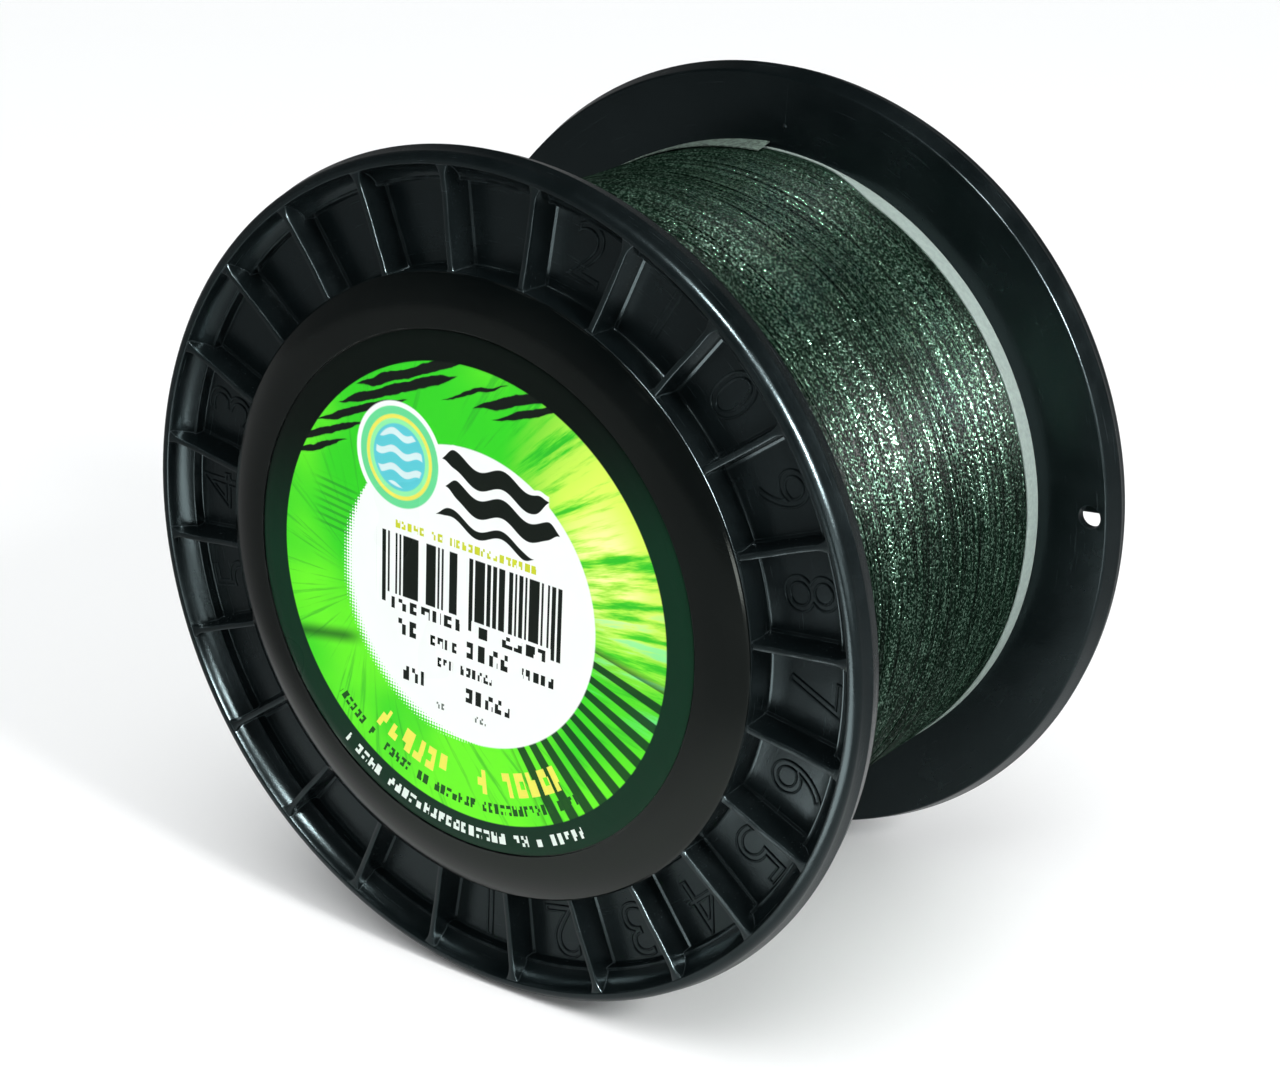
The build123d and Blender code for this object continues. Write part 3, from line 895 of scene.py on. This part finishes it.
    # plain ringed emblem, then wave bands edged in white beside it
    eu, ev = less(u, p["emblem"][0]), less(v, p["emblem"][1])
    away = sumUp(tree, "SQRT", plus(times(times(eu, eu), 1.12), times(ev, ev)))
    for share, ink in p["rings"]:
        edge = p["emblemSize"] * share
        colour = lay(less(1, step(away, edge - 0.12, edge + 0.12)), p[ink], colour)
    ripple = within(wave(plus(times(ev, 2.6), times(wave(times(eu, 1.5)), 0.9))), 0.35, 2.0, 0.25)
    colour = lay(times(times(ripple, 0.7), less(1, step(away, 3.9, 4.2))), p["white"], colour)
    swell = wave(plus(times(u, 0.78), 0.6))
    for middle, thick, left, right in p["waves"]:
        line = plus(less(v, middle), plus(times(u, 0.10), times(swell, 0.75)))
        taper = step(within(u, left, right, 1.6), 0.0, 1.0)
        band = less(times(taper, thick), sumUp(tree, "ABSOLUTE", line))
        ends = step(taper, 0.02, 0.1)
        if thick > 1:
            colour = lay(times(step(band, -0.75, -0.55), ends), p["white"], colour)
        colour = lay(times(step(band, -0.06, 0.06), ends), p["ink"], colour)

    # the back of the film is plain; it shows through the bore
    facing = split(tree, addNode(tree, "ShaderNodeTexCoord").outputs["Normal"])[1]
    plugAll(tree, shader, {
        "Base Color": lay(step(facing, 0.3, 0.6), p["backing"], colour),
        "Roughness": plus(0.24, times(wash, 0.10)),
        "Normal": bumpFrom(tree, addNoise(tree, millimetres, 0.35, 3), 0.05)})
    return material


label = makeLabel()
label.data.materials.append(makeLabelMaterial())
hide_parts("front_label")
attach(label, "root")
print("label ready")

# pieces that keep their solid
anchorFilm = makeTapeMaterial("anchorTapeFilm", (0.62, 0.62, 0.56))
for node, material in (("front_hub_cap", hubPlastic), ("rear_hub_cap", hubPlastic), ("core_drum", drumPlastic),
                       ("arbor_tube", drumPlastic), ("anchor_tape", anchorFilm)):
    slots = nodes[node].data.materials
    slots.clear()
    slots.append(material)
print("hub, drum and tube ready")

# floor, light and camera: places and sizes in metres, power in watts
studio = {
    "floorColour": (0.965, 0.97, 0.97), "floorHalf": 4.0, "floorCells": 8, "nearInGloss": 0.65, "farInGloss": 0.24,
    "nearRadius": 0.09, "farRadius": 0.16, "worldColour": (0.97, 0.99, 1.0), "worldSoft": 0.52, "worldLow": 0.14,
    "worldHigh": 0.015, "backdrop": 1.0, "sunDirection": (-0.10, 0.35, -1.0), "sunStrength": 1.56, "sunSpread": 50,
    "lens": 75.94, "sensor": 36, "camera": (0.20285, -0.27840, 0.13111), "forward": (-0.54814, 0.75402, -0.36194),
}
lamps = [  # name, place, target, size, power, what it reaches
    ("keyRight", (0.60, -0.16, 0.36), (0, 0, 0), (0.13, 0.16), 3.0, "soft"),
    ("labelFill", (-0.25, -0.95, 0.30), (0, 0, 0), (0.35, 0.25), 0.6, "soft"),
    # small bright sources that only the gloss sees
    ("keyGlint", (0.60, -0.16, 0.36), (0, 0, 0), (0.09, 0.12), 24.0, "notLine"),
    ("topGlint", (0.36, -0.25, 0.68), (0, 0, 0), (0.16, 0.05), 9.0, "notLine"),
    ("frontPanel", (0.60, -0.50, 0.03), (0, 0, 0), (0.40, 0.16), 1.0, "notLine"),
    ("lowCard", (0.06, -0.19, -0.054), (0.06, -0.19, 1.0), (0.10, 0.22), 0.5, "flangeOnly"),
    # two more that only the wound line sees, so its waxy flecks sparkle
    ("lineGlint", (0.66, 0.14, 0.25), (0, 0, 0), (0.16, 0.07), 160.0, "lineOnly"),
    ("lineTop", (0.02, 0.14, 0.69), (0, 0, 0), (0.16, 0.05), 15.0, "lineOnly"),
]


def makeFloor():
    verts, faces, half, cells = [], [], studio["floorHalf"], studio["floorCells"]
    for i in range(cells + 1):
        for j in range(cells + 1):
            verts.append((half * (2 * i / cells - 1), half * (2 * j / cells - 1), -spool["flange"] * mm))
    for i in range(cells):
        for j in range(cells):
            a = i * (cells + 1) + j
            faces.append((a, a + cells + 1, a + cells + 2, a + 1))
    floor = makeMesh("studioFloor", verts, faces)
    material, tree, shader = newMaterial("studioFloorPaint", Roughness=0.9, Specular_IOR_Level=0.1)
    plus, less, times = sums(tree, "ADD", "SUBTRACT", "MULTIPLY")
    # the black plastic sees a dimmer floor, as with flags in a studio
    gloss = addNode(tree, "ShaderNodeLightPath").outputs["Is Glossy Ray"]
    where = addNode(tree, "ShaderNodeTexCoord").outputs["Object"]
    reach = addNode(tree, "ShaderNodeVectorMath", {0: where}, operation="LENGTH").outputs["Value"]
    near = smoothStep(tree, reach, studio["farRadius"], studio["nearRadius"])
    seen = plus(studio["farInGloss"], times(near, studio["nearInGloss"] - studio["farInGloss"]))
    dim = less(1, times(gloss, less(1, seen)))
    plug(tree, blendColour(tree, dim, (0, 0, 0), studio["floorColour"]), shader.inputs["Base Color"])
    floor.data.materials.append(material)


def makeWorld():
    world = bpy.data.worlds.new("studioWorld")
    bpy.context.scene.world = world
    world.use_nodes = True
    tree = world.node_tree
    plus, less, times = sums(tree, "ADD", "SUBTRACT", "MULTIPLY")
    height = split(tree, addNode(tree, "ShaderNodeTexCoord").outputs["Generated"])[2]
    level = smoothStep(tree, height, -0.1, 0.75)
    strength = plus(studio["worldLow"], times(level, studio["worldHigh"] - studio["worldLow"]))
    ray = addNode(tree, "ShaderNodeLightPath").outputs
    camera, gloss = ray["Is Camera Ray"], ray["Is Glossy Ray"]
    soft = less(less(1, camera), gloss, clamp=True)
    seen = plus(times(camera, studio["backdrop"]), times(gloss, strength))
    seen = plus(seen, times(soft, studio["worldSoft"]))
    plugAll(tree, tree.nodes["Background"], {"Strength": seen, "Color": studio["worldColour"]})


def addLamp(name, kind, strength, direction):
    data = bpy.data.lights.new(name, kind)
    data.energy = strength
    lamp = bpy.data.objects.new(name, data)
    bpy.context.collection.objects.link(lamp)
    lamp.rotation_euler = Vector(direction).to_track_quat("-Z", "Y").to_euler()
    return lamp


def makeLamps():
    sun = addLamp("evenTop", "SUN", studio["sunStrength"], studio["sunDirection"])
    sun.data.angle = math.radians(studio["sunSpread"])
    sun.visible_glossy = False
    reached = {name: bpy.data.collections.new(name) for name in ("lineOnly", "notLine", "flangeOnly")}
    for piece in (pack, strands):
        reached["lineOnly"].objects.link(piece)
        reached["notLine"].objects.link(piece)
    for piece in (frontFlange, rearFlange):
        reached["flangeOnly"].objects.link(piece)
    for linked in reached["notLine"].collection_objects:
        linked.light_linking.link_state = "EXCLUDE"
    for name, place, target, size, power, kind in lamps:
        lamp = addLamp(name, "AREA", power, Vector(target) - Vector(place))
        lamp.location = place
        lamp.data.shape, lamp.data.size, lamp.data.size_y = "RECTANGLE", *size
        if kind == "soft":
            lamp.visible_glossy = False
        else:
            lamp.visible_diffuse = lamp.visible_camera = False
            lamp.light_linking.receiver_collection = reached[kind]


def makeCamera():
    data = bpy.data.cameras.new("spoolCamera")
    data.lens, data.sensor_width = studio["lens"], studio["sensor"]
    data.clip_start, data.clip_end = 0.01, 20
    camera = bpy.data.objects.new("spoolCamera", data)
    bpy.context.collection.objects.link(camera)
    camera.location = studio["camera"]
    camera.rotation_euler = Vector(studio["forward"]).to_track_quat("-Z", "Y").to_euler()
    bpy.context.scene.camera = camera


makeFloor()
makeWorld()
makeLamps()
makeCamera()
view = bpy.context.scene.view_settings
view.view_transform, view.look, view.exposure = "Standard", "None", 0.0
print("studio ready")
